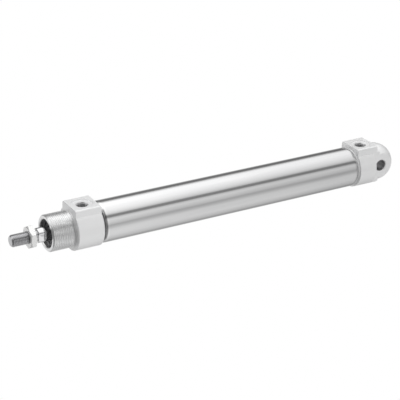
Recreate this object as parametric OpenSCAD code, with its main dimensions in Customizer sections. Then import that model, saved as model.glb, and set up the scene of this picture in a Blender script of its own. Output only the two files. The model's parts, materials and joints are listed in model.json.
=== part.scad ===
// Double-acting pneumatic cylinder with a round tube, two cast covers rolled
// onto the tube, a spherical rear pivot lug and a threaded nose.
// Millimetres. Origin: centre of the rear pivot hole. +X runs along the
// cylinder towards the rod end, +Y along the pivot hole, +Z up through the
// ports. The rod is drawn fully retracted.

/* [Bore and stroke] */
// Inside diameter of the tube
bore_d = 32; // [20:1:63]
// Wall thickness of the tube
tube_wall = 1.2; // [0.8:0.1:2.5]
// Travel of the rod
stroke = 200; // [25:5:500]

/* [Rear lug] */
// Diameter of the rear pivot hole
pivot_d = 10; // [6:0.5:16]
// Radius of the spherical rear end
lug_r = 16.4; // [12:0.1:24]
// Width of the lug across its two flats
lug_w = 24; // [12:0.5:36]
// Distance from the pivot hole to the rear end of the port pad
lug_step = 5.3; // [3:0.1:14]
// Distance from the pivot hole to the rear end of the round body
lug_end = 2.6; // [0:0.1:14]
// Distance from the pivot hole to the front end of the lug flats
flat_end = 9.4; // [6:0.1:16]

/* [Covers] */
// Radius of the round part of both covers
cover_r = 18.25; // [17.5:0.05:26]
// Length of the rear cover body
rear_len = 20.8; // [15:0.1:35]
// Length of the front cover body
front_len = 22.5; // [15:0.1:35]
// Width of the flat port pad
pad_w = 24.4; // [18:0.1:36]
// Height of the port pad above the cylinder axis
pad_z = 19.5; // [17:0.1:30]
// Rounding of the long top edges of the port pad
pad_round = 1.8; // [0.2:0.1:4]
// Chamfer on the rims of the round cover bodies
rim = 0.5; // [0:0.1:1.5]
// Width of the groove between a cover and the end of the tube
gap = 1.8; // [0.5:0.1:3]

/* [Ports] */
// Minor diameter of the port thread
port_d = 8.566; // [5:0.001:16]
// Depth of the port thread
port_deep = 9; // [6:0.5:14]
// Diameter of the sealing face around each port
face_d = 17.4; // [12:0.1:22]
// Depth of the sealing face
face_deep = 1.1; // [0.2:0.1:2]

/* [Nose] */
// Outside diameter of the nose thread
nose_d = 30; // [22:1:45]
// Length of the nose in front of the front cover body
nose_len = 20.5; // [12:1:35]
// Diameter of the recess in the nose
recess_d = 23; // [22:0.5:25]

/* [Rod] */
// Diameter of the piston rod
rod_d = 12; // [6:1:25]
// Length of plain rod between the nose face and the thread
rod_out = 8; // [3:0.5:60]
// Diameter of the rod thread
thread_d = 10; // [5:1:20]
// Length of the rod thread
thread_len = 22; // [10:1:40]
// Width across the flats of the lock nut
nut_af = 17; // [8:1:32]
// Thickness of the lock nut
nut_t = 5; // [3:0.5:12]
// Distance from the rod shoulder to the back of the lock nut
nut_out = 2.7; // [0:0.1:10]
// Width across the spanner flats on the rod
flat_af = 10; // [6:0.5:22]

/* [Hidden] */
$fn = 96;
e = 0.02;
tube_ri = bore_d / 2;
tube_ro = tube_ri + tube_wall;
spigot_r = tube_ri - e;
rear_x0 = lug_step;
rear_x1 = rear_x0 + rear_len;
spigot_len = 13.9;
bump = 1.5;
piston_len = 17.4;
cavity_x0 = rear_x1 + spigot_len;
cavity_x1 = cavity_x0 + stroke + piston_len + 2 * bump + 0.1;
front_x0 = cavity_x1 + spigot_len + 0.1;
front_x1 = front_x0 + front_len;
nose_x = front_x1 + nose_len;
shoulder_x = nose_x + rod_out;
tip_x = shoulder_x + thread_len;
tube_x0 = rear_x1 + gap;
tube_x1 = front_x0 - gap;
pis_x = cavity_x0 + bump + 0.05;
rear_port_x = (rear_x0 + rear_x1) / 2;
front_port_x = (front_x0 + front_x1) / 2;

// solid of revolution about X from a list of [x, r] points
module turned(pts) {
  rotate([0, 90, 0]) rotate([0, 0, 180]) rotate_extrude() polygon([for (p = pts) [p[1], p[0]]]);
}

// plain ring or disc about X
module ring(x0, x1, ro, ri) {
  turned([[x0, ri], [x0, ro], [x1, ro], [x1, ri]]);
}

// round bar about X
module bar(x0, x1, r) {
  translate([x0, 0, 0]) rotate([0, 90, 0]) cylinder(h = x1 - x0, r = r);
}

// drilling along Z from z0 to z1
module drill(x, z0, z1, r) {
  translate([x, 0, z0]) cylinder(h = z1 - z0, r = r);
}

// round cover body with chamfered rims and the raised port pad
module cover_body(x0, x1, tail = 0) {
  turned([[x0 - tail, 0], [x0 - tail, cover_r - rim], [x0 - tail + rim, cover_r], [x1 - rim, cover_r], [x1, cover_r - rim], [x1, 0]]);
  // flat pad, extruded along X with its long top edges rounded in three facets
  translate([x0, 0, 0]) rotate([90, 0, 90]) linear_extrude(x1 - x0) polygon([
    [-pad_w / 2, 0], [pad_w / 2, 0], [pad_w / 2, pad_z - pad_round], [pad_w / 2 - pad_round * 0.134, pad_z - pad_round * 0.5],
    [pad_w / 2 - pad_round * 0.5, pad_z - pad_round * 0.134], [pad_w / 2 - pad_round, pad_z],
    [-pad_w / 2 + pad_round, pad_z], [-pad_w / 2 + pad_round * 0.5, pad_z - pad_round * 0.134],
    [-pad_w / 2 + pad_round * 0.134, pad_z - pad_round * 0.5], [-pad_w / 2, pad_z - pad_round]]);
}

// threaded port with its sealing face, and the passage below it
module port_cut(x) {
  drill(x, pad_z - face_deep, pad_z + 5, face_d / 2);
  drill(x, pad_z - face_deep - port_deep, pad_z + 1, port_d / 2);
  drill(x, 0, pad_z, 3);
}

module rear_cover() {
  color([0.86, 0.86, 0.86]) difference() {
    union() {
      intersection() {
        sphere(r = lug_r);
        translate([-lug_r - 1, -lug_w / 2, -lug_r - 1]) cube([lug_r + 1 + rear_x0 + 1, lug_w, 2 * lug_r + 2]);
      }
      intersection() {
        cover_body(rear_x0, rear_x1, rear_x0 - lug_end);
        union() {
          translate([lug_end - 1, -lug_w / 2, -30]) cube([flat_end, lug_w, 60]);
          translate([flat_end, -30, -30]) cube([30, 60, 60]);
        }
      }
      turned([[rear_x1 - 1, 0], [rear_x1 - 1, spigot_r], [rear_x1 + 0.8, spigot_r], [rear_x1 + 1.1, spigot_r - 1.1],
              [rear_x1 + 4.8, spigot_r - 1.1], [rear_x1 + 5.2, spigot_r], [rear_x1 + 8, spigot_r],
              [rear_x1 + 8, spigot_r - 1.8], [rear_x1 + 10.6, spigot_r - 1.8], [rear_x1 + 10.6, spigot_r],
              [cavity_x0 - 1, spigot_r], [cavity_x0, spigot_r - 1], [cavity_x0, 0]]);
    }
    translate([0, -lug_w, 0]) rotate([-90, 0, 0]) cylinder(h = 2 * lug_w, r = pivot_d / 2);
    port_cut(rear_port_x);
    bar(rear_port_x - 3, cavity_x0 + 1, 3);
    bar(cavity_x0 - 8, cavity_x0 + 1, 9);
    ring(cavity_x0 - 1, cavity_x0 + 1, 13.2, 0);
  }
}

module front_cover() {
  color([0.86, 0.86, 0.86]) difference() {
    union() {
      cover_body(front_x0, front_x1);
      turned([[front_x1 - 1, 0], [front_x1 - 1, nose_d / 2 - 0.9], [front_x1 + 0.9, nose_d / 2 - 0.9], [front_x1 + 1.8, nose_d / 2],
              [nose_x - 0.9, nose_d / 2], [nose_x, nose_d / 2 - 0.9], [nose_x, 0]]);
      turned([[front_x0 + 1, 0], [front_x0 + 1, spigot_r], [front_x0 - 0.8, spigot_r], [front_x0 - 1.1, spigot_r - 1.1],
              [front_x0 - 4.8, spigot_r - 1.1], [front_x0 - 5.2, spigot_r], [front_x0 - 8, spigot_r],
              [front_x0 - 8, spigot_r - 1.8], [front_x0 - 10.6, spigot_r - 1.8], [front_x0 - 10.6, spigot_r],
              [cavity_x1 + 1, spigot_r], [cavity_x1, spigot_r - 1], [cavity_x1, 0]]);
    }
    port_cut(front_port_x);
    // air passage around the rod, open to the bore
    bar(cavity_x1 - 1, front_port_x + 3, 8);
    ring(cavity_x1 - 1, cavity_x1 + 1, 13.2, 0);
    // seat for the rod bearing bush
    bar(front_port_x, nose_x, 7.5 + e);
    // seat for the rod seal, carrier and wiper
    bar(nose_x - 12, nose_x + 1, 10.5 + e);
    // open recess of the nose, with the groove for the retaining ring
    turned([[nose_x - 7, 0], [nose_x - 7, recess_d / 2], [nose_x - 0.6, recess_d / 2], [nose_x + 0.1, recess_d / 2 + 0.7],
            [nose_x + 1, recess_d / 2 + 0.7], [nose_x + 1, 0]]);
    ring(nose_x - 5.0, nose_x - 3.7, recess_d / 2 + 0.9, 0);
  }
}

module cylinder_tube() {
  color([0.8, 0.8, 0.82]) turned([
    [tube_x0 + 0.2, spigot_r - 0.9], [tube_x0, tube_ri - 0.6], [tube_x0 + 0.05, tube_ri + 0.05], [tube_x0 + 0.35, tube_ri + 0.5],
    [tube_x0 + 1, tube_ro - 0.36], [tube_x0 + 2, tube_ro - 0.1], [tube_x0 + 3.2, tube_ro],
    [tube_x1 - 3.2, tube_ro], [tube_x1 - 2, tube_ro - 0.1], [tube_x1 - 1, tube_ro - 0.36], [tube_x1 - 0.35, tube_ri + 0.5],
    [tube_x1 - 0.05, tube_ri + 0.05], [tube_x1, tube_ri - 0.6], [tube_x1 - 0.2, spigot_r - 0.9],
    [tube_x1 - 1.2, spigot_r - 0.9], [tube_x1 - 1.9, spigot_r - 0.7], [tube_x1 - 3.2, tube_ri],
    [tube_x0 + 3.2, tube_ri], [tube_x0 + 1.9, spigot_r - 0.7], [tube_x0 + 1.2, spigot_r - 0.9]]);
}

// O-ring squeezed between a spigot groove and the tube
module o_ring(x, ri, ro) {
  turned([[x - 0.95, ri + 0.3], [x - 0.95, ro - 0.3], [x - 0.5, ro - e], [x + 0.5, ro - e],
          [x + 0.95, ro - 0.3], [x + 0.95, ri + 0.3], [x + 0.5, ri + e], [x - 0.5, ri + e]]);
}

module rear_tube_seal() { color([0.1, 0.1, 0.1]) o_ring(rear_x1 + 9.3, spigot_r - 1.8, tube_ri - 0.03); }
module front_tube_seal() { color([0.1, 0.1, 0.1]) o_ring(front_x0 - 9.3, spigot_r - 1.8, tube_ri - 0.03); }

module rod_bearing_bush() {
  color([0.66, 0.52, 0.3]) turned([
    [front_port_x + 5, rod_d / 2 + 0.4], [front_port_x + 5, 7.1], [front_port_x + 5.4, 7.5],
    [nose_x - 12 - e, 7.5], [nose_x - 12 - e, rod_d / 2 + 0.3], [nose_x - 12.3, rod_d / 2 + 0.03],
    [front_port_x + 5.37, rod_d / 2 + 0.03]]);
}

module rod_seal() {
  color([0.12, 0.12, 0.12]) turned([
    [nose_x - 12, rod_d / 2 + 0.9], [nose_x - 12, 10.4], [nose_x - 8.6, 10.4], [nose_x - 8.6, rod_d / 2 + 0.6],
    [nose_x - 9.4, rod_d / 2 + 0.03], [nose_x - 11.2, rod_d / 2 + 0.03]]);
}

// metal carrier that holds the rod seal down and the wiper in front of it
module seal_carrier() {
  color([0.45, 0.45, 0.46]) turned([
    [nose_x - 8.5, rod_d / 2 + 0.4], [nose_x - 8.5, 10.4], [nose_x - 7 + e, 10.4], [nose_x - 7 + e, recess_d / 2 - 0.1],
    [nose_x - 5 - e, recess_d / 2 - 0.1], [nose_x - 5 - e, 9.2], [nose_x - 7.2, 9.2], [nose_x - 7.2, rod_d / 2 + 0.4]]);
}

module wiper_ring() {
  color([0.1, 0.1, 0.1]) turned([
    [nose_x - 7.15, rod_d / 2 + 0.6], [nose_x - 7.15, 9.15], [nose_x - 5.5, 9.15], [nose_x - 5.1, 8.8], [nose_x - 5.1, 8.3],
    [nose_x - 4.3, 8.1], [nose_x - 4.3, 7.6], [nose_x - 3.6, 7.0], [nose_x - 3.3, rod_d / 2 + 0.03], [nose_x - 3.9, rod_d / 2 + 0.03], [nose_x - 4.8, rod_d / 2 + 0.6]]);
}

// internal snap ring with two eyes, open at the top
module retaining_ring() {
  color([0.3, 0.3, 0.31]) difference() {
    union() {
      ring(nose_x - 4.95, nose_x - 3.75, recess_d / 2 + 0.85, recess_d / 2 - 1.5);
      for (s = [-1, 1]) rotate([s * 20, 0, 0]) intersection() {
        translate([nose_x - 4.95, 0, recess_d / 2 - 1.5]) rotate([0, 90, 0]) cylinder(h = 1.2, r = 1.5);
        bar(nose_x - 5, nose_x - 3.7, recess_d / 2);
      }
    }
    rotate([0, 0, 0]) translate([nose_x - 6, -2.6, 6]) cube([3, 5.2, 12]);
    for (s = [-1, 1]) rotate([s * 20, 0, 0]) translate([nose_x - 6, 0, recess_d / 2 - 1.6]) rotate([0, 90, 0]) cylinder(h = 3, r = 0.7);
  }
}

module rear_bumper() {
  color([0.15, 0.15, 0.15]) turned([[cavity_x0 - 1 + e, 9.6], [cavity_x0 - 1 + e, 13.15], [cavity_x0 + bump - 0.4, 13.15], [cavity_x0 + bump, 12.7], [cavity_x0 + bump, 10], [cavity_x0 + bump - 0.4, 9.6]]);
}

module front_bumper() {
  color([0.15, 0.15, 0.15]) turned([[cavity_x1 + 1 - e, 8.6], [cavity_x1 + 1 - e, 13.15], [cavity_x1 - bump + 0.4, 13.15], [cavity_x1 - bump, 12.7], [cavity_x1 - bump, 9], [cavity_x1 - bump + 0.4, 8.6]]);
}

// U-cup seal of the piston, lip towards dir
module u_cup(x, dir) {
  turned([for (p = [[-1.6, 12.6], [-1.6, 15.3], [-0.6, 15.45], [1.5, tube_ri - 0.03], [1.6, tube_ri - 0.3],
                    [0.7, 14.6], [0.5, 14.2], [0.7, 13.7], [1.6, 12.9], [1.5, 12.6]]) [x + dir * p[0], p[1]]]);
}

module piston_seal_rear() { color([0.12, 0.12, 0.12]) u_cup(pis_x + 3.4, -1); }
module piston_seal_front() { color([0.12, 0.12, 0.12]) u_cup(pis_x + piston_len - 3.4, 1); }
module piston_guide_ring() { color([0.75, 0.72, 0.62]) ring(pis_x + 6.8, pis_x + 10.6, tube_ri - 0.05, 14.55); }

module piston_rear_half() {
  color([0.7, 0.7, 0.72]) turned([
    [pis_x, 4.02], [pis_x, 12.9], [pis_x + 0.4, 13.2], [pis_x + 1.7, 13.2], [pis_x + 1.7, 12.55], [pis_x + 5.1, 12.55],
    [pis_x + 5.1, 15.6], [pis_x + 6.7, 15.6], [pis_x + 6.7, 14.5], [pis_x + 8.7, 14.5], [pis_x + 8.7, 8.6],
    [pis_x + 6.2, 8.6], [pis_x + 6.2, 6.0], [pis_x + 8.7, 6.0], [pis_x + 8.7, 4.02]]);
}

module piston_front_half() {
  color([0.7, 0.7, 0.72]) turned([
    [pis_x + piston_len, 6.02], [pis_x + piston_len, 12.9], [pis_x + piston_len - 0.4, 13.2], [pis_x + piston_len - 1.7, 13.2],
    [pis_x + piston_len - 1.7, 12.55], [pis_x + piston_len - 5.1, 12.55], [pis_x + piston_len - 5.1, 15.6],
    [pis_x + piston_len - 6.7, 15.6], [pis_x + piston_len - 6.7, 14.5], [pis_x + 8.7, 14.5], [pis_x + 8.7, 12.1], [pis_x + 11.2, 12.1],
    [pis_x + 11.2, 8.6], [pis_x + 8.7, 8.6], [pis_x + 8.7, 4.02], [pis_x + piston_len - 2, 4.02], [pis_x + piston_len - 2, 6.02]]);
}

module piston_magnet() { color([0.2, 0.2, 0.22]) ring(pis_x + 8.75, pis_x + 11.15, 12.05, 8.65); }
module piston_static_seal() { color([0.12, 0.12, 0.12]) turned([[pis_x + 6.3, 6.3], [pis_x + 6.3, 8.3], [pis_x + 6.6, 8.55], [pis_x + 8.3, 8.55], [pis_x + 8.65, 8.3], [pis_x + 8.65, 6.3], [pis_x + 8.3, 6.05], [pis_x + 6.6, 6.05]]); }

module piston_washer() { color([0.7, 0.7, 0.7]) ring(pis_x - 1 - e, pis_x - e, 7.6, 4.02); }

// hexagon nut about X with chamfered corners
module hex_nut(x0, x1, af, bore_r) {
  difference() {
    intersection() {
      translate([x0, 0, 0]) rotate([0, 90, 0]) rotate([0, 0, 30]) cylinder(h = x1 - x0, r = af / sqrt(3), $fn = 6);
      turned([[x0, 0], [x0, af * 0.475], [x0 + 0.9, af * 0.475 + 1.6], [x1 - 0.9, af * 0.475 + 1.6], [x1, af * 0.475], [x1, 0]]);
    }
    bar(x0 - 1, x1 + 1, bore_r);
    turned([[x0 - 1, 0], [x0 - 1, bore_r + 1.5], [x0 + 0.5, bore_r], [x0 + 0.5, 0]]);
    turned([[x1 + 1, 0], [x1 + 1, bore_r + 1.5], [x1 - 0.5, bore_r], [x1 - 0.5, 0]]);
  }
}

module piston_nut() { color([0.7, 0.68, 0.6]) hex_nut(pis_x - 5.5, pis_x - 1.04, 13, 4.02); }

module piston_rod() {
  color([0.85, 0.85, 0.86]) difference() {
    turned([[pis_x - 6.6, 0], [pis_x - 6.6, 3.3], [pis_x - 5.9, 4], [pis_x + piston_len - 2 + e, 4], [pis_x + piston_len - 2 + e, rod_d / 2],
            [shoulder_x - 0.5, rod_d / 2], [shoulder_x, rod_d / 2 - 0.5], [shoulder_x, thread_d / 2 - 0.7],
            [shoulder_x + 2.3, thread_d / 2 - 0.7], [shoulder_x + 2.45, thread_d / 2 - 0.45],
            [shoulder_x + nut_out + nut_t, thread_d / 2 - 0.45], [shoulder_x + nut_out + nut_t + 0.2, thread_d / 2],
            [tip_x - 1.1, thread_d / 2], [tip_x, thread_d / 2 - 1.1], [tip_x, 0]]);
    for (s = [-1, 1]) translate([shoulder_x - 6, s > 0 ? flat_af / 2 : -flat_af / 2 - 5, -10]) cube([6.1, 5, 20]);
  }
}

module rod_lock_nut() { color([0.75, 0.74, 0.7]) rotate([30, 0, 0]) hex_nut(shoulder_x + nut_out, shoulder_x + nut_out + nut_t, nut_af, thread_d / 2 - 0.4); }

front_cover();
rear_cover();
cylinder_tube();
front_tube_seal();
rear_tube_seal();
rod_bearing_bush();
rod_seal();
seal_carrier();
wiper_ring();
retaining_ring();
front_bumper();
rear_bumper();
piston_seal_front();
piston_seal_rear();
piston_guide_ring();
piston_rod();
piston_front_half();
piston_rear_half();
piston_magnet();
piston_static_seal();
piston_nut();
piston_washer();
rod_lock_nut();
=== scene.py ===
import json
import math

import bpy
import bmesh
from mathutils import Matrix, Vector


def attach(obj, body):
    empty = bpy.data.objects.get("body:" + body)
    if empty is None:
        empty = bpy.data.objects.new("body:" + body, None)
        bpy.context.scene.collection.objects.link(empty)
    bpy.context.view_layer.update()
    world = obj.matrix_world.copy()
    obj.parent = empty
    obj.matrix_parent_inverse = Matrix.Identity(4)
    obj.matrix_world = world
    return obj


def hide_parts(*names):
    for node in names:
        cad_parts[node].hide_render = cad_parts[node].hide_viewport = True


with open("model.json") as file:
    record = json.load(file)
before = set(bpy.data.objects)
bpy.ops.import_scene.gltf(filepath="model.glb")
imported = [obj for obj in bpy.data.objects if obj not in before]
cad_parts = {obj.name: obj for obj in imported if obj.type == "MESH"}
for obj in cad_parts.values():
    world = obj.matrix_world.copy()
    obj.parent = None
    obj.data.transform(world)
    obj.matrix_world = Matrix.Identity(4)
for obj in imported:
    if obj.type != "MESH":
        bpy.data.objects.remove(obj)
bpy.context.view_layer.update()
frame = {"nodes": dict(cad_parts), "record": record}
MM = 0.001
TAU = 2 * math.pi
scene = bpy.context.scene


# ================================================================ camera
def rot_basis(az, el, roll):
    a, e, r = math.radians(az), math.radians(el), math.radians(roll)
    back = Vector((math.sin(a) * math.cos(e), math.cos(a) * math.cos(e), math.sin(e)))
    fwd = -back
    right = fwd.cross(Vector((0, 0, 1))).normalized()
    up = right.cross(fwd)
    return right * math.cos(r) + up * math.sin(r), -right * math.sin(r) + up * math.cos(r), back


right, up, back = rot_basis(31.075, 24.645, 1.543)
target = Vector((122.459, 0, 0)) + right * -47.38 + up * -11.20
cam_data = bpy.data.cameras.new("camera")
cam_data.sensor_width = 36.0
cam_data.lens = 1439.272 / 400 * 36
cam_data.clip_start = 0.05
cam_data.clip_end = 20
cam = bpy.data.objects.new("camera", cam_data)
scene.collection.objects.link(cam)
cam.matrix_world = Matrix.Translation((target + back * 1217.095) * MM) @ Matrix((right, up, back)).transposed().to_4x4()
scene.camera = cam
scene.view_settings.view_transform = "Standard"
scene.view_settings.look = "None"


# ================================================================ node helpers
class Nodes:
    """Short-hand for building a node tree."""

    def __init__(self, tree):
        self.t = tree
        tree.nodes.clear()

    def new(self, kind, **props):
        n = self.t.nodes.new(kind)
        for k, v in props.items():
            setattr(n, k, v)
        return n

    def link(self, a, b):
        self.t.links.new(a, b)

    def put(self, socket, value):
        if isinstance(value, bpy.types.NodeSocket):
            self.link(value, socket)
        else:
            socket.default_value = value

    def math(self, op, a, b=None, c=None, clamp=False):
        n = self.new("ShaderNodeMath", operation=op, use_clamp=clamp)
        for i, v in enumerate((a, b, c)):
            if v is not None:
                self.put(n.inputs[i], v)
        return n.outputs[0]

    def ramp(self, fac, stops, mode="LINEAR"):
        n = self.new("ShaderNodeValToRGB")
        cr = n.color_ramp
        cr.interpolation = mode
        while len(cr.elements) > 1:
            cr.elements.remove(cr.elements[-1])
        first = True
        for p, c in stops:
            col = (c, c, c, 1) if isinstance(c, (int, float)) else (*c, 1)
            if first:
                cr.elements[0].position = p
                cr.elements[0].color = col
                first = False
            else:
                cr.elements.new(p).color = col
        self.put(n.inputs[0], fac)
        return n.outputs[0]

    def maprange(self, v, a, b, c, d, smooth=False):
        n = self.new("ShaderNodeMapRange", interpolation_type="SMOOTHSTEP" if smooth else "LINEAR")
        self.put(n.inputs[0], v)
        for i, x in zip((1, 2, 3, 4), (a, b, c, d)):
            n.inputs[i].default_value = x
        return n.outputs[0]

    def noise(self, vec, scale, detail=2.0, rough=0.5, stretch=(1, 1, 1), dist=0.0):
        m = self.new("ShaderNodeMapping")
        m.inputs["Scale"].default_value = stretch
        self.put(m.inputs["Vector"], vec)
        n = self.new("ShaderNodeTexNoise")
        n.inputs["Scale"].default_value = scale
        n.inputs["Detail"].default_value = detail
        n.inputs["Roughness"].default_value = rough
        n.inputs["Distortion"].default_value = dist
        self.link(m.outputs[0], n.inputs["Vector"])
        return n.outputs[0]


# ================================================================ light
# A long studio set lit by panels parallel to the cylinder. The light from each
# direction depends on its angle round the X axis (0 = the near horizon, 90 = up,
# 180 = the far horizon, -90 = down) and falls off a little towards the ends.
ENV = [
    (-180, 0.50), (-164, 0.85), (-140, 0.85), (-128, 0.52), (-108, 0.46), (-92, 0.72), (-62, 0.95), (-28, 0.93), (-14, 0.68),
    (-4, 0.55), (6, 0.78), (26, 0.98), (34, 0.78), (39, 0.29), (49, 0.29), (55, 0.86), (66, 1.12), (84, 1.34),
    (106, 1.52), (128, 1.52), (139, 1.10), (148, 0.34), (160, 0.18), (180, 0.34),
]
world = bpy.data.worlds.new("studio")
scene.world = world
world.use_nodes = True
W = Nodes(world.node_tree)
geo = W.new("ShaderNodeTexCoord")
sep = W.new("ShaderNodeSeparateXYZ")
W.link(geo.outputs["Generated"], sep.inputs[0])
ang = W.math("ARCTAN2", sep.outputs["Z"], sep.outputs["Y"])
fac = W.math("ADD", W.math("DIVIDE", ang, TAU), 0.5)
env = W.ramp(fac, [((a + 180) / 360, v / 2) for a, v in ENV])
ends = W.ramp(W.math("ADD", W.math("MULTIPLY", sep.outputs["X"], 0.5), 0.5),
              [(0.0, 0.50), (0.2, 0.72), (0.33, 1.0), (0.7, 1.0), (1.0, 0.66)])
# the corner of the set in front of the rod end is open and dark
dx = W.ramp(W.math("ADD", W.math("MULTIPLY", sep.outputs["X"], 0.5), 0.5), [(0.0, 0.0), (0.44, 0.0), (0.54, 1.0), (1.0, 1.0)])
dy = W.ramp(W.math("ADD", W.math("MULTIPLY", sep.outputs["Y"], 0.5), 0.5), [(0.0, 0.0), (0.44, 0.0), (0.54, 1.0), (1.0, 1.0)])
front_dark = W.math("SUBTRACT", 1.0, W.math("MULTIPLY", W.math("MULTIPLY", dx, dy), 0.70))
bg = W.new("ShaderNodeBackground")
mul2 = W.new("ShaderNodeMix", data_type="RGBA", blend_type="MULTIPLY")
mul2.inputs[0].default_value = 1.0
mul = W.new("ShaderNodeMix", data_type="RGBA", blend_type="MULTIPLY")
mul.inputs[0].default_value = 1.0
W.link(env, mul.inputs[6])
W.link(ends, mul.inputs[7])
W.link(mul.outputs[2], mul2.inputs[6])
W.link(front_dark, mul2.inputs[7])
W.link(mul2.outputs[2], bg.inputs["Color"])
bg.inputs["Strength"].default_value = 2.0
white = W.new("ShaderNodeBackground")
white.inputs["Color"].default_value = (1, 1, 1, 1)
white.inputs["Strength"].default_value = 1.0
lp = W.new("ShaderNodeLightPath")
mixs = W.new("ShaderNodeMixShader")
W.link(lp.outputs["Is Camera Ray"], mixs.inputs[0])
W.link(bg.outputs[0], mixs.inputs[1])
W.link(white.outputs[0], mixs.inputs[2])
wout = W.new("ShaderNodeOutputWorld")
W.link(mixs.outputs[0], wout.inputs[0])


# A large soft panel on the near side. It is not seen in reflections, so it only lifts the matte surfaces.
def panel(name, where, towards, size, watts):
    ld = bpy.data.lights.new(name, "AREA")
    ld.shape = "RECTANGLE"
    ld.size, ld.size_y = size
    ld.energy = watts
    lo = bpy.data.objects.new(name, ld)
    scene.collection.objects.link(lo)
    d = (Vector(towards) - Vector(where)).normalized()
    lo.matrix_world = Matrix.Translation(where) @ d.to_track_quat("-Z", "Y").to_matrix().to_4x4()
    lo.visible_glossy = False
    return lo


panel("near_panel", (0.62, 1.1, 0.42), (0.25, 0, 0), (0.9, 0.8), 7.0)


# ================================================================ materials
def material(name, slot):
    m = bpy.data.materials.new(name)
    m.use_nodes = True
    n = Nodes(m.node_tree)
    out = n.new("ShaderNodeOutputMaterial")
    b = n.new("ShaderNodeBsdfPrincipled")
    n.link(b.outputs[0], out.inputs[0])
    tc = n.new("ShaderNodeTexCoord").outputs["Object"]
    return m, n, b, tc


def bump(n, b, height, dist, strength=1.0):
    k = n.new("ShaderNodeBump")
    k.inputs["Strength"].default_value = strength
    k.inputs["Distance"].default_value = dist
    n.put(k.inputs["Height"], height)
    n.link(k.outputs[0], b.inputs["Normal"])


def tint(n, fac, a, b_):
    mx = n.new("ShaderNodeMix", data_type="RGBA")
    n.put(mx.inputs[0], fac)
    mx.inputs[6].default_value = (*a, 1)
    mx.inputs[7].default_value = (*b_, 1)
    return mx.outputs[2]


def aluminium_cover():
    """Clear-anodised aluminium with a fine blasted surface, matte and pale."""
    m, n, b, tc = material("anodised_aluminium", "cover")
    grain = n.noise(tc, 2200, 3, 0.6)
    cloud = n.noise(tc, 55, 3, 0.55)
    n.put(b.inputs["Base Color"], tint(n, n.maprange(cloud, 0.3, 0.7, 0, 1), (0.890, 0.892, 0.894), (0.925, 0.926, 0.927)))
    b.inputs["Metallic"].default_value = 0.45
    n.put(b.inputs["Roughness"], n.maprange(cloud, 0.3, 0.7, 0.44, 0.52))
    bump(n, b, grain, 0.000010, 0.7)
    return m


def aluminium_machined():
    """Anodised after turning: glossier, with fine rings round X."""
    m, n, b, tc = material("machined_aluminium", "cover")
    turn = n.noise(tc, 1, 4, 0.7, stretch=(3200, 40, 40))
    cloud = n.noise(tc, 90, 3, 0.55)
    n.put(b.inputs["Base Color"], tint(n, n.maprange(cloud, 0.3, 0.7, 0, 1), (0.835, 0.837, 0.839), (0.870, 0.871, 0.872)))
    b.inputs["Metallic"].default_value = 0.9
    n.put(b.inputs["Roughness"], n.maprange(turn, 0.3, 0.7, 0.24, 0.32))
    bump(n, b, turn, 0.000004, 0.6)
    return m


def aluminium_bore_painted_shade(name, dark, pale):
    """Reamed and drilled holes and the gap at the spigot: darker grey, painted shade for the shadow inside them."""
    m, n, b, tc = material(name, "cover")
    k = n.noise(tc, 700, 3, 0.6)
    n.put(b.inputs["Base Color"], tint(n, n.maprange(k, 0.3, 0.7, 0, 1), (dark, dark, dark * 1.01), (pale, pale, pale * 1.01)))
    b.inputs["Metallic"].default_value = 0.9
    n.put(b.inputs["Roughness"], n.maprange(k, 0.3, 0.7, 0.26, 0.36))
    bump(n, b, k, 0.000004, 0.5)
    return m


def steel_tube():
    """Drawn and polished stainless tube: fine grain along X."""
    m, n, b, tc = material("polished_stainless_tube", "tube")
    grain = n.noise(tc, 1, 4, 0.65, stretch=(9, 1900, 1900))
    broad = n.noise(tc, 1, 3, 0.5, stretch=(14, 160, 160))
    n.put(b.inputs["Base Color"], tint(n, n.maprange(broad, 0.3, 0.7, 0, 1), (0.705, 0.706, 0.710), (0.745, 0.745, 0.747)))
    b.inputs["Metallic"].default_value = 1.0
    n.put(b.inputs["Roughness"], n.maprange(grain, 0.25, 0.75, 0.10, 0.17))
    bump(n, b, grain, 0.0000035, 0.7)
    return m


def chromed_rod():
    """Hard-chromed rod, ground round X; the cut thread in front of the shoulder is duller steel."""
    m, n, b, tc = material("chromed_rod", "rod")
    s = n.new("ShaderNodeSeparateXYZ")
    n.link(tc, s.inputs[0])
    x = s.outputs["X"]
    thread = n.maprange(x, 0.3254, 0.3258, 0, 1)
    ring = n.noise(tc, 1, 3, 0.6, stretch=(5200, 20, 20))
    cloud = n.noise(tc, 240, 3, 0.6)
    chrome = tint(n, ring, (0.80, 0.80, 0.81), (0.84, 0.84, 0.845))
    steel = tint(n, cloud, (0.50, 0.50, 0.51), (0.62, 0.62, 0.63))
    mx = n.new("ShaderNodeMix", data_type="RGBA")
    n.put(mx.inputs[0], thread)
    n.link(chrome, mx.inputs[6])
    n.link(steel, mx.inputs[7])
    n.link(mx.outputs[2], b.inputs["Base Color"])
    b.inputs["Metallic"].default_value = 1.0
    n.put(b.inputs["Roughness"], n.math("ADD", n.maprange(ring, 0.3, 0.7, 0.05, 0.09), n.math("MULTIPLY", thread, 0.17)))
    bump(n, b, ring, 0.0000012, 0.5)
    return m


def zinc_nut():
    """Bright zinc plate: slightly cloudy, with faint drawing lines."""
    m, n, b, tc = material("zinc_plated_steel", "zinc")
    cloud = n.noise(tc, 420, 4, 0.6)
    fine = n.noise(tc, 3200, 2, 0.5)
    n.put(b.inputs["Base Color"], tint(n, n.maprange(cloud, 0.3, 0.7, 0, 1), (0.80, 0.80, 0.795), (0.87, 0.87, 0.865)))
    b.inputs["Metallic"].default_value = 0.65
    n.put(b.inputs["Roughness"], n.maprange(cloud, 0.3, 0.7, 0.22, 0.34))
    bump(n, b, fine, 0.000003, 0.4)
    return m


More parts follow.
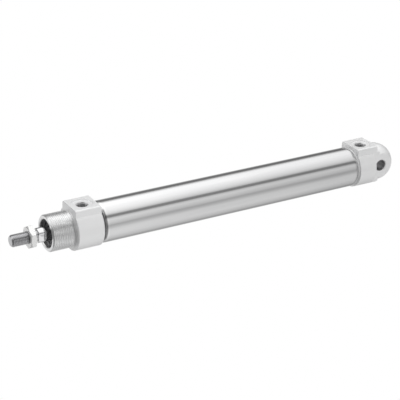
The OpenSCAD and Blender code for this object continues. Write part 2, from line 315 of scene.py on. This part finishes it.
def plain_metal(name, slot, c0, c1, r0, r1, stretch=(1, 1, 1), scale=500):
    m, n, b, tc = material(name, slot)
    k = n.noise(tc, scale, 3, 0.6, stretch=stretch)
    n.put(b.inputs["Base Color"], tint(n, n.maprange(k, 0.3, 0.7, 0, 1), c0, c1))
    b.inputs["Metallic"].default_value = 1.0
    n.put(b.inputs["Roughness"], n.maprange(k, 0.3, 0.7, r0, r1))
    bump(n, b, k, 0.000005, 0.6)
    return m


def soft(name, slot, c0, c1, r0, r1, scale=900, spec=0.5):
    m, n, b, tc = material(name, slot)
    k = n.noise(tc, scale, 4, 0.6)
    n.put(b.inputs["Base Color"], tint(n, n.maprange(k, 0.3, 0.7, 0, 1), c0, c1))
    n.put(b.inputs["Roughness"], n.maprange(k, 0.3, 0.7, r0, r1))
    b.inputs["Specular IOR Level"].default_value = spec
    bump(n, b, k, 0.00002, 0.5)
    return m


MAT = {
    "cover": aluminium_cover(),
    "machined": aluminium_machined(),
    # bored and tapped are darker grey than the cover: painted shade in the holes, the port and the spigot gap
    "bored": aluminium_bore_painted_shade("bore_painted_shade_aluminium", 0.44, 0.58),
    "tapped": aluminium_bore_painted_shade("tapped_painted_shade_aluminium", 0.60, 0.72),
    "tube": steel_tube(),
    "rod": chromed_rod(),
    "zinc": zinc_nut(),
    "seal": soft("black_seal_rubber", "seal", (0.075, 0.075, 0.075), (0.115, 0.115, 0.115), 0.36, 0.5),
    "bumper": soft("black_polyurethane", "bumper", (0.03, 0.03, 0.03), (0.05, 0.05, 0.05), 0.35, 0.5),
    "bronze": plain_metal("sintered_bronze", "bronze", (0.40, 0.26, 0.13), (0.56, 0.40, 0.22), 0.35, 0.55, scale=1800),
    "carrier": plain_metal("turned_steel_carrier", "carrier", (0.60, 0.60, 0.61), (0.72, 0.72, 0.73), 0.28, 0.4, (3000, 20, 20), 1),
    "spring_steel": plain_metal("phosphated_spring_steel", "spring_steel", (0.24, 0.24, 0.245), (0.34, 0.34, 0.345), 0.36, 0.5),
    "guide": soft("filled_bearing_plastic", "guide", (0.60, 0.55, 0.44), (0.72, 0.68, 0.56), 0.5, 0.6),
    "piston": plain_metal("turned_aluminium", "piston", (0.62, 0.62, 0.63), (0.72, 0.72, 0.73), 0.26, 0.36, (2600, 20, 20), 1),
    "magnet": soft("bonded_ferrite", "magnet", (0.06, 0.06, 0.065), (0.11, 0.11, 0.115), 0.5, 0.65),
}
for sp in frame["record"]["subparts"]:
    node = frame["nodes"][sp["node"]]
    node.data.materials.clear() if not node.data.materials else None
    if not node.material_slots:
        node.data.materials.append(MAT[sp["material_slot"]])
    for s in node.material_slots:
        s.material = MAT[sp["material_slot"]]


# ================================================================ shape helpers
def mesh_object(name, verts, faces):
    me = bpy.data.meshes.new(name)
    me.from_pydata([tuple(c * MM for c in v) for v in verts], [], faces)
    me.update()
    ob = bpy.data.objects.new(name, me)
    scene.collection.objects.link(ob)
    bm = bmesh.new()
    bm.from_mesh(me)
    bmesh.ops.remove_doubles(bm, verts=bm.verts, dist=1e-7)
    bmesh.ops.recalc_face_normals(bm, faces=bm.faces)
    bm.to_mesh(me)
    bm.free()
    return ob


def rounded(points, steps=4):
    """Points are (x, r) or (x, r, fillet radius). Corners with a radius become arcs."""
    out = []
    k = len(points)
    for i, p in enumerate(points):
        fr = p[2] if len(p) > 2 else 0
        a, c, b = Vector(points[i - 1][:2]), Vector(p[:2]), Vector(points[(i + 1) % k][:2])
        if fr <= 0:
            out.append((c.x, c.y))
            continue
        u, v = (a - c), (b - c)
        lu, lv = u.length, v.length
        u.normalize()
        v.normalize()
        half = math.acos(max(-1, min(1, u.dot(v)))) / 2
        d = min(fr / math.tan(half), lu * 0.49, lv * 0.49)
        rr = d * math.tan(half)
        centre = c + (u + v).normalized() * (rr / math.sin(half))
        p0, p1 = c + u * d - centre, c + v * d - centre
        a0 = math.atan2(p0.y, p0.x)
        da = (math.atan2(p1.y, p1.x) - a0 + math.pi) % TAU - math.pi
        for j in range(steps + 1):
            t = a0 + da * j / steps
            out.append((centre.x + rr * math.cos(t), centre.y + rr * math.sin(t)))
    return out


def thread_depth(phase):
    u = abs((phase % 1.0) - 0.5) * 2
    t = max(0.0, min(1.0, (0.86 - u) / 0.62))
    return t * t * (3 - 2 * t) * 0.35 + t * 0.65


def revolve(name, profile, seg=160, thread=None):
    """A closed profile of (x, r) turned round X. thread = (x0, x1, pitch, depth, run_in, run_out, radius) cuts a helix
    into the surface at that radius where the profile runs from x0 to x1."""
    prof = list(profile)
    if thread:
        x0, x1, pitch, depth, ri, ro, rad = thread
        dense = []
        for i, p in enumerate(prof):
            q = prof[(i + 1) % len(prof)]
            dense.append(p)
            if abs(p[1] - rad) < 1e-6 and abs(q[1] - rad) < 1e-6 and abs(q[0] - p[0]) > pitch:
                steps = int(abs(q[0] - p[0]) / pitch * 12)
                dense += [(p[0] + (q[0] - p[0]) * j / steps, rad) for j in range(1, steps)]
        prof = dense
    verts, faces, index = [], [], []
    for x, r in prof:
        row = []
        if r < 1e-6:
            verts.append((x, 0, 0))
            row = [len(verts) - 1] * seg
        else:
            for j in range(seg):
                t = TAU * j / seg
                rr = r
                if thread and abs(r - rad) < 1e-6:
                    amp = max(0, min(1, (x - x0) / max(ri, 1e-6))) * max(0, min(1, (x1 - x) / max(ro, 1e-6)))
                    rr = r - depth * amp * thread_depth(x / pitch - j / seg)
                verts.append((x, rr * math.cos(t), rr * math.sin(t)))
                row.append(len(verts) - 1)
        index.append(row)
    for i in range(len(prof)):
        a, b = index[i], index[(i + 1) % len(prof)]
        if prof[i][1] < 1e-6 and prof[(i + 1) % len(prof)][1] < 1e-6:
            continue
        for j in range(seg):
            q = [a[j], a[(j + 1) % seg], b[(j + 1) % seg], b[j]]
            q = [v for n_, v in enumerate(q) if v not in q[:n_]]
            if len(q) > 2:
                faces.append(q)
    return mesh_object(name, verts, faces)


def turned_to(ob, matrix):
    ob.data.transform(matrix)
    ob.data.update()
    return ob


Z_AXIS = Matrix.Rotation(-math.pi / 2, 4, "Y")      # X to Z
Y_AXIS = Matrix.Rotation(math.pi / 2, 4, "Z")       # X to Y


def block(name, lo, hi, bevels=()):
    """A box with chosen edges rounded: bevels is a list of (test on the edge's middle and direction, radius)."""
    x0, y0, z0 = lo
    x1, y1, z1 = hi
    v = [(x, y, z) for x in (x0, x1) for y in (y0, y1) for z in (z0, z1)]
    f = [(0, 1, 3, 2), (4, 6, 7, 5), (0, 4, 5, 1), (2, 3, 7, 6), (0, 2, 6, 4), (1, 5, 7, 3)]
    ob = mesh_object(name, v, f)
    bm = bmesh.new()
    bm.from_mesh(ob.data)
    for test, radius in bevels:
        es = [e for e in bm.edges if test((e.verts[0].co + e.verts[1].co) / 2 / MM, (e.verts[1].co - e.verts[0].co).normalized())]
        bmesh.ops.bevel(bm, geom=es, offset=radius * MM, segments=5, profile=0.5, affect="EDGES", clamp_overlap=True)
    bm.to_mesh(ob.data)
    bm.free()
    return ob


def boolean(ob, other, op):
    md = ob.modifiers.new("b", "BOOLEAN")
    md.operation = op
    md.solver = "EXACT"
    md.object = other
    deps = bpy.context.evaluated_depsgraph_get()
    me = bpy.data.meshes.new_from_object(ob.evaluated_get(deps))
    ob.modifiers.clear()
    old = ob.data
    ob.data = me
    bpy.data.meshes.remove(old)
    dead = other.data
    bpy.data.objects.remove(other)
    bpy.data.meshes.remove(dead)
    return ob


def join(ob, other):
    bm = bmesh.new()
    bm.from_mesh(ob.data)
    bm.from_mesh(other.data)
    bm.to_mesh(ob.data)
    bm.free()
    dead = other.data
    bpy.data.objects.remove(other)
    bpy.data.meshes.remove(dead)
    return ob


def finish_piece(ob, mat, body, *nodes, slot=None, angle=34, bevel=0.0, zones=()):
    """Smooths, gives materials and hands the piece over. zones is a list of (material, test that all of a face's corners pass, in mm)."""
    me = ob.data
    me.materials.clear()
    me.materials.append(mat)
    for zm, _ in zones:
        me.materials.append(zm)
    bm = bmesh.new()
    bm.from_mesh(me)
    bmesh.ops.remove_doubles(bm, verts=bm.verts, dist=2e-7)
    bmesh.ops.dissolve_degenerate(bm, dist=1e-7, edges=bm.edges)
    if bevel:
        es = [e for e in bm.edges if len(e.link_faces) == 2 and math.degrees(e.calc_face_angle(0)) > 40]
        bmesh.ops.bevel(bm, geom=es, offset=bevel * MM, segments=2, profile=0.6, affect="EDGES", clamp_overlap=True)
    bm.to_mesh(me)
    bm.free()
    for p in me.polygons:
        p.use_smooth = True
        p.material_index = 0
        if zones:
            vs = [me.vertices[i].co / MM for i in p.vertices]
            for k, (_, test) in enumerate(zones):
                if all(test(v) for v in vs):
                    p.material_index = k + 1
    me.set_sharp_from_angle(angle=math.radians(angle))
    wn = ob.modifiers.new("weighted", "WEIGHTED_NORMAL")
    wn.keep_sharp = True
    wn.weight = 60
    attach(ob, body)
    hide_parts(*nodes)
    return ob


# ================================================================ dimensions (mm), as in the solids
BORE_R, TUBE_R = 16.0, 17.2
SPIGOT_R = 15.98
COVER_R = 18.25
REAR0, REAR1 = 5.3, 26.1
LUG_END, FLAT_END, LUG_R, LUG_W = 2.6, 9.4, 16.4, 12.0
CAV0, CAV1 = 40.0, 260.5
FRONT0, FRONT1 = 274.5, 297.0
NOSE = 317.5
SHOULDER = 325.5
TIP = 347.5
PAD_W, PAD_Z, PAD_ROUND = 12.2, 19.5, 1.8
GAP = 1.8
T0, T1 = REAR1 + GAP, FRONT0 - GAP
FACE_R, FACE_DEEP, PORT_R, PORT_DEEP = 8.7, 1.1, 4.283, 9.0


def pad(name, x0, x1):
    """The raised port pad: long top edges rounded, the others eased."""
    return block(name, (x0, -PAD_W, 0), (x1, PAD_W, PAD_Z), [
        (lambda c, d: abs(d.x) > 0.9 and c.z > PAD_Z - 0.5, PAD_ROUND),
        (lambda c, d: abs(d.x) < 0.5 and c.z > PAD_Z - 3 and (abs(c.x - x0) < 0.01 or abs(c.x - x1) < 0.01), 0.4),
    ])


def port_cutter(x):
    """Drilled port: sealing face, lead-in chamfer, thread bore and the small passage under it."""
    z = PAD_Z - FACE_DEEP
    prof = rounded([(-1, 0), (-1, 3.0), (z - PORT_DEEP - 1.2, 3.0), (z - PORT_DEEP, 4.6), (z - PORT_DEEP, 4.95), (z - 0.4, 4.95), (z, 5.3),
                    (z, FACE_R, 0.2), (PAD_Z - 0.25, FACE_R), (PAD_Z + 0.4, FACE_R + 0.65), (PAD_Z + 2, FACE_R + 0.65), (PAD_Z + 2, 0)])
    return turned_to(revolve("port_cut", prof, 96), Matrix.Translation((x * MM, 0, 0)) @ Z_AXIS)


def port_thread(x):
    """Internal pipe thread, as a thin threaded sleeve merged into the wall of the port."""
    z = PAD_Z - FACE_DEEP
    z0, z1, pitch = z - PORT_DEEP - 0.2, z - 0.45, 0.907
    steps, seg = int((z1 - z0) / pitch * 10), 96
    verts, faces = [], []
    for i in range(steps + 1):
        h = z0 + (z1 - z0) * i / steps
        for j in range(seg):
            t = TAU * j / seg
            r = 4.30 + 0.55 * thread_depth(h / pitch - j / seg)
            if h > z1 - 0.6:
                r = max(r, 4.30 + (h - (z1 - 0.6)) * 0.95)
            verts.append((x + r * math.cos(t), r * math.sin(t), h))
    for i in range(steps):
        for j in range(seg):
            a = i * seg + j
            b = i * seg + (j + 1) % seg
            faces.append((a, a + seg, b + seg, b))
    base = len(verts)
    for h in (z0, z1):
        for j in range(seg):
            t = TAU * j / seg
            verts.append((x + 5.05 * math.cos(t), 5.05 * math.sin(t), h))
    for j in range(seg):
        k = (j + 1) % seg
        faces.append((base + j, base + k, base + seg + k, base + seg + j))
        faces.append((j, k, base + k, base + j))
        top = steps * seg
        faces.append((top + k, top + j, base + seg + j, base + seg + k))
    return mesh_object("port_thread", verts, faces)


# ================================================================ front cover
prof = rounded([
    (FRONT1, 14.1), (FRONT1, COVER_R, 0.55), (FRONT0, COVER_R, 0.55), (FRONT0, SPIGOT_R, 0.2), (FRONT0 - 0.8, SPIGOT_R),
    (FRONT0 - 1.1, SPIGOT_R - 1.1), (FRONT0 - 4.8, SPIGOT_R - 1.1), (FRONT0 - 5.2, SPIGOT_R), (FRONT0 - 8, SPIGOT_R),
    (FRONT0 - 8, SPIGOT_R - 1.8), (FRONT0 - 10.6, SPIGOT_R - 1.8), (FRONT0 - 10.6, SPIGOT_R), (CAV1 + 1, SPIGOT_R),
    (CAV1, SPIGOT_R - 1), (CAV1, 13.2), (CAV1 + 1, 13.2), (CAV1 + 1, 8), (288.75, 8), (288.75, 7.52), (NOSE - 12, 7.52),
    (NOSE - 12, 10.52), (NOSE - 7, 10.52), (NOSE - 7, 11.5), (NOSE - 5, 11.5), (NOSE - 5, 12.4), (NOSE - 3.7, 12.4),
    (NOSE - 3.7, 11.5), (NOSE - 0.6, 11.5, 0.2), (NOSE, 12.1, 0.15), (NOSE, 14.1, 0.1), (NOSE - 0.9, 15.0),
    (FRONT1 + 1.8, 15.0), (FRONT1 + 0.9, 14.1, 0.2)], 5)
front = revolve("front_cover_detail", prof, 192, thread=(FRONT1 + 1.8, NOSE - 0.9, 1.5, 0.86, 1.2, 0.3, 15.0))
boolean(front, pad("pad", FRONT0, FRONT1), "UNION")
# hollow the pad out again where the bore of the cover runs under it
boolean(front, revolve("hollow", [(CAV1 - 2, 0), (CAV1 - 2, 8), (288.75, 8), (288.75, 7.52), (NOSE - 12, 7.52), (NOSE - 12, 0)], 96), "DIFFERENCE")
boolean(front, port_cutter((FRONT0 + FRONT1) / 2), "DIFFERENCE")
join(front, port_thread((FRONT0 + FRONT1) / 2))
def in_port(c, x, r, z):
    return (c.x - x) ** 2 + c.y ** 2 < r * r and c.z < z


FP, RP = (FRONT0 + FRONT1) / 2, (REAR0 + REAR1) / 2
# the bored and tapped zones are darker grey: painted shade in the spigot gap, the port and the bores of the nose
finish_piece(front, MAT["cover"], "cylinder", "front_cover", slot="cover", zones=[
    (MAT["machined"], lambda c: (c.x > FRONT1 - 0.01 and c.yz.length < 17.6) or c.x < FRONT0 - GAP),
    (MAT["bored"], lambda c: c.x < FRONT0 + 0.01 and c.yz.length < 17.8),
    (MAT["tapped"], lambda c: in_port(c, FP, 5.35, PAD_Z - FACE_DEEP - 0.1)),
    (MAT["bored"], lambda c: c.yz.length < 12.5 and c.x < NOSE - 0.1 and (c.z < 8.5 or c.x > FRONT1) and abs(c.x - FP) > 2),
])

# ================================================================ rear cover
prof = rounded([
    (LUG_END, 0), (LUG_END, COVER_R, 0.5), (REAR1, COVER_R, 0.55), (REAR1, SPIGOT_R, 0.2), (REAR1 + 0.8, SPIGOT_R),
    (REAR1 + 1.1, SPIGOT_R - 1.1), (REAR1 + 4.8, SPIGOT_R - 1.1), (REAR1 + 5.2, SPIGOT_R), (REAR1 + 8, SPIGOT_R),
    (REAR1 + 8, SPIGOT_R - 1.8), (REAR1 + 10.6, SPIGOT_R - 1.8), (REAR1 + 10.6, SPIGOT_R), (CAV0 - 1, SPIGOT_R),
    (CAV0, SPIGOT_R - 1), (CAV0, 13.2), (CAV0 - 1, 13.2), (CAV0 - 1, 9), (CAV0 - 8, 9), (CAV0 - 8, 0)], 5)
rear = revolve("rear_cover_detail", prof, 192)
ball = revolve("ball", [(-LUG_R * math.cos(math.pi * i / 72), LUG_R * math.sin(math.pi * i / 72)) for i in range(0, 73)], 160)
boolean(rear, ball, "UNION")
boolean(rear, pad("pad", REAR0, REAR1), "UNION")
for s in (-1, 1):
    lo, hi = sorted((s * LUG_W, s * 30))
    edge = [(lambda c, d, s=s: abs(d.z) > 0.9 and abs(c.x - FLAT_END) < 0.01 and abs(abs(c.y) - LUG_W) < 0.01, 0.8)]
    boolean(rear, block("flat", (-20, lo, -30), (FLAT_END, hi, 30), edge), "DIFFERENCE")
pin = rounded([(-14, 0), (-14, 6.4), (-12.01, 5.75), (-11.3, 5.0), (11.3, 5.0), (12.01, 5.75), (14, 6.4), (14, 0)])
boolean(rear, turned_to(revolve("pin_cut", pin, 96), Y_AXIS), "DIFFERENCE")
boolean(rear, port_cutter((REAR0 + REAR1) / 2), "DIFFERENCE")
boolean(rear, revolve("passage", [((REAR0 + REAR1) / 2 - 3, 0), ((REAR0 + REAR1) / 2 - 3, 3), (CAV0 - 7, 3), (CAV0 - 7, 0)], 48), "DIFFERENCE")
join(rear, port_thread((REAR0 + REAR1) / 2))
# the tapped and bored zones are darker grey: painted shade in the port and the pivot bore
finish_piece(rear, MAT["cover"], "cylinder", "rear_cover", slot="cover", zones=[
    (MAT["tapped"], lambda c: in_port(c, RP, 5.35, PAD_Z - FACE_DEEP - 0.1)),
    (MAT["bored"], lambda c: c.xz.length < 5.3),
])

# ================================================================ tube with rolled ends
half = [(0.2, SPIGOT_R - 0.9), (0.02, 15.3), (0.0, 15.45), (0.0, 15.7), (0.02, 15.9)]
half += [(3.2 * (1 - math.cos(math.pi / 2 * i / 22)), 16.05 + 1.15 * math.sin(math.pi / 2 * i / 22)) for i in range(23)]
prof = [(T0 + x, r) for x, r in half] + [(T1 - x, r) for x, r in reversed(half)]
prof += [(T1 - 1.2, SPIGOT_R - 0.9), (T1 - 1.9, SPIGOT_R - 0.7), (T1 - 3.2, BORE_R), (T0 + 3.2, BORE_R), (T0 + 1.9, SPIGOT_R - 0.7), (T0 + 1.2, SPIGOT_R - 0.9)]
tube = revolve("cylinder_tube_detail", prof, 256)
finish_piece(tube, MAT["tube"], "cylinder", "cylinder_tube", slot="tube")

# ================================================================ rod
PIS = 41.55
PLEN = 17.4
TH = SHOULDER + 2.7 + 5.0
prof = rounded([
    (PIS - 6.6, 0), (PIS - 6.6, 3.3), (PIS - 5.9, 4), (PIS + PLEN - 1.98, 4), (PIS + PLEN - 1.98, 6.0),
    (SHOULDER - 0.5, 6.0), (SHOULDER, 5.5, 0.1), (SHOULDER, 4.3, 0.15), (SHOULDER + 2.3, 4.3), (SHOULDER + 2.45, 4.55), (TH, 4.55),
    (TH + 0.05, 5.0), (TIP - 1.1, 5.0), (TIP, 3.9, 0.15), (TIP, 0)], 3)
rod = revolve("piston_rod_detail", prof, 128, thread=(TH - 0.5, TIP - 0.2, 1.25, 0.72, 0.1, 1.4, 5.0))
for s in (-1, 1):
    lo, hi = sorted((s * 5.0, s * 11.0))
    boolean(rod, block("flat", (SHOULDER - 6, lo, -10), (SHOULDER + 0.05, hi, 10),
                       [(lambda c, d, s=s: abs(d.z) > 0.9 and abs(c.x - (SHOULDER - 6)) < 0.01 and abs(abs(c.y) - 5.0) < 0.01, 0.6)]), "DIFFERENCE")
finish_piece(rod, MAT["rod"], "rod", "piston_rod", slot="rod", angle=38)

# ================================================================ lock nut
AF = 17.0
N0, N1 = SHOULDER + 2.7, SHOULDER + 7.7
verts = [(x, AF / math.sqrt(3) * math.cos(math.radians(60 * k + 30)), AF / math.sqrt(3) * math.sin(math.radians(60 * k + 30))) for x in (N0, N1) for k in range(6)]
faces = [tuple(range(5, -1, -1)), tuple(range(6, 12))] + [(k, (k + 1) % 6, 6 + (k + 1) % 6, 6 + k) for k in range(6)]
nut = mesh_object("rod_lock_nut_detail", verts, faces)
boolean(nut, revolve("nut_cone", [(N0, 0), (N0, AF * 0.475), (N0 + 0.9, AF * 0.475 + 1.6), (N1 - 0.9, AF * 0.475 + 1.6), (N1, AF * 0.475), (N1, 0)], 160), "INTERSECT")
boolean(nut, revolve("nut_bore", [(N0 - 1, 0), (N0 - 1, 5.9), (N0, 5.2), (N0 + 0.6, 4.6), (N1 - 0.6, 4.6), (N1, 5.2), (N1 + 1, 5.9), (N1 + 1, 0)], 96), "DIFFERENCE")
finish_piece(nut, MAT["zinc"], "lock_nut", "rod_lock_nut", slot="zinc", angle=20)

# ================================================================ floor
fl = bpy.data.meshes.new("floor")
fl.from_pydata([(-6, -6, -0.0186), (6, -6, -0.0186), (6, 6, -0.0186), (-6, 6, -0.0186)], [], [(0, 1, 2, 3)])
floor = bpy.data.objects.new("floor", fl)
scene.collection.objects.link(floor)
fm = bpy.data.materials.new("pale_floor")
fm.use_nodes = True
F = Nodes(fm.node_tree)
em = F.new("ShaderNodeEmission")
em.inputs["Color"].default_value = (1, 1, 1, 1)
em.inputs["Strength"].default_value = 1.0
# one-sided, so that the underside of the object can be looked at through it
clear = F.new("ShaderNodeBsdfTransparent")
side = F.new("ShaderNodeNewGeometry")
fmix = F.new("ShaderNodeMixShader")
F.link(side.outputs["Backfacing"], fmix.inputs[0])
F.link(em.outputs[0], fmix.inputs[1])
F.link(clear.outputs[0], fmix.inputs[2])
fo = F.new("ShaderNodeOutputMaterial")
F.link(fmix.outputs[0], fo.inputs[0])
fl.materials.append(fm)
floor.visible_glossy = False
floor.visible_diffuse = False
floor.visible_shadow = False
floor.visible_transmission = False

bpy.context.view_layer.update()
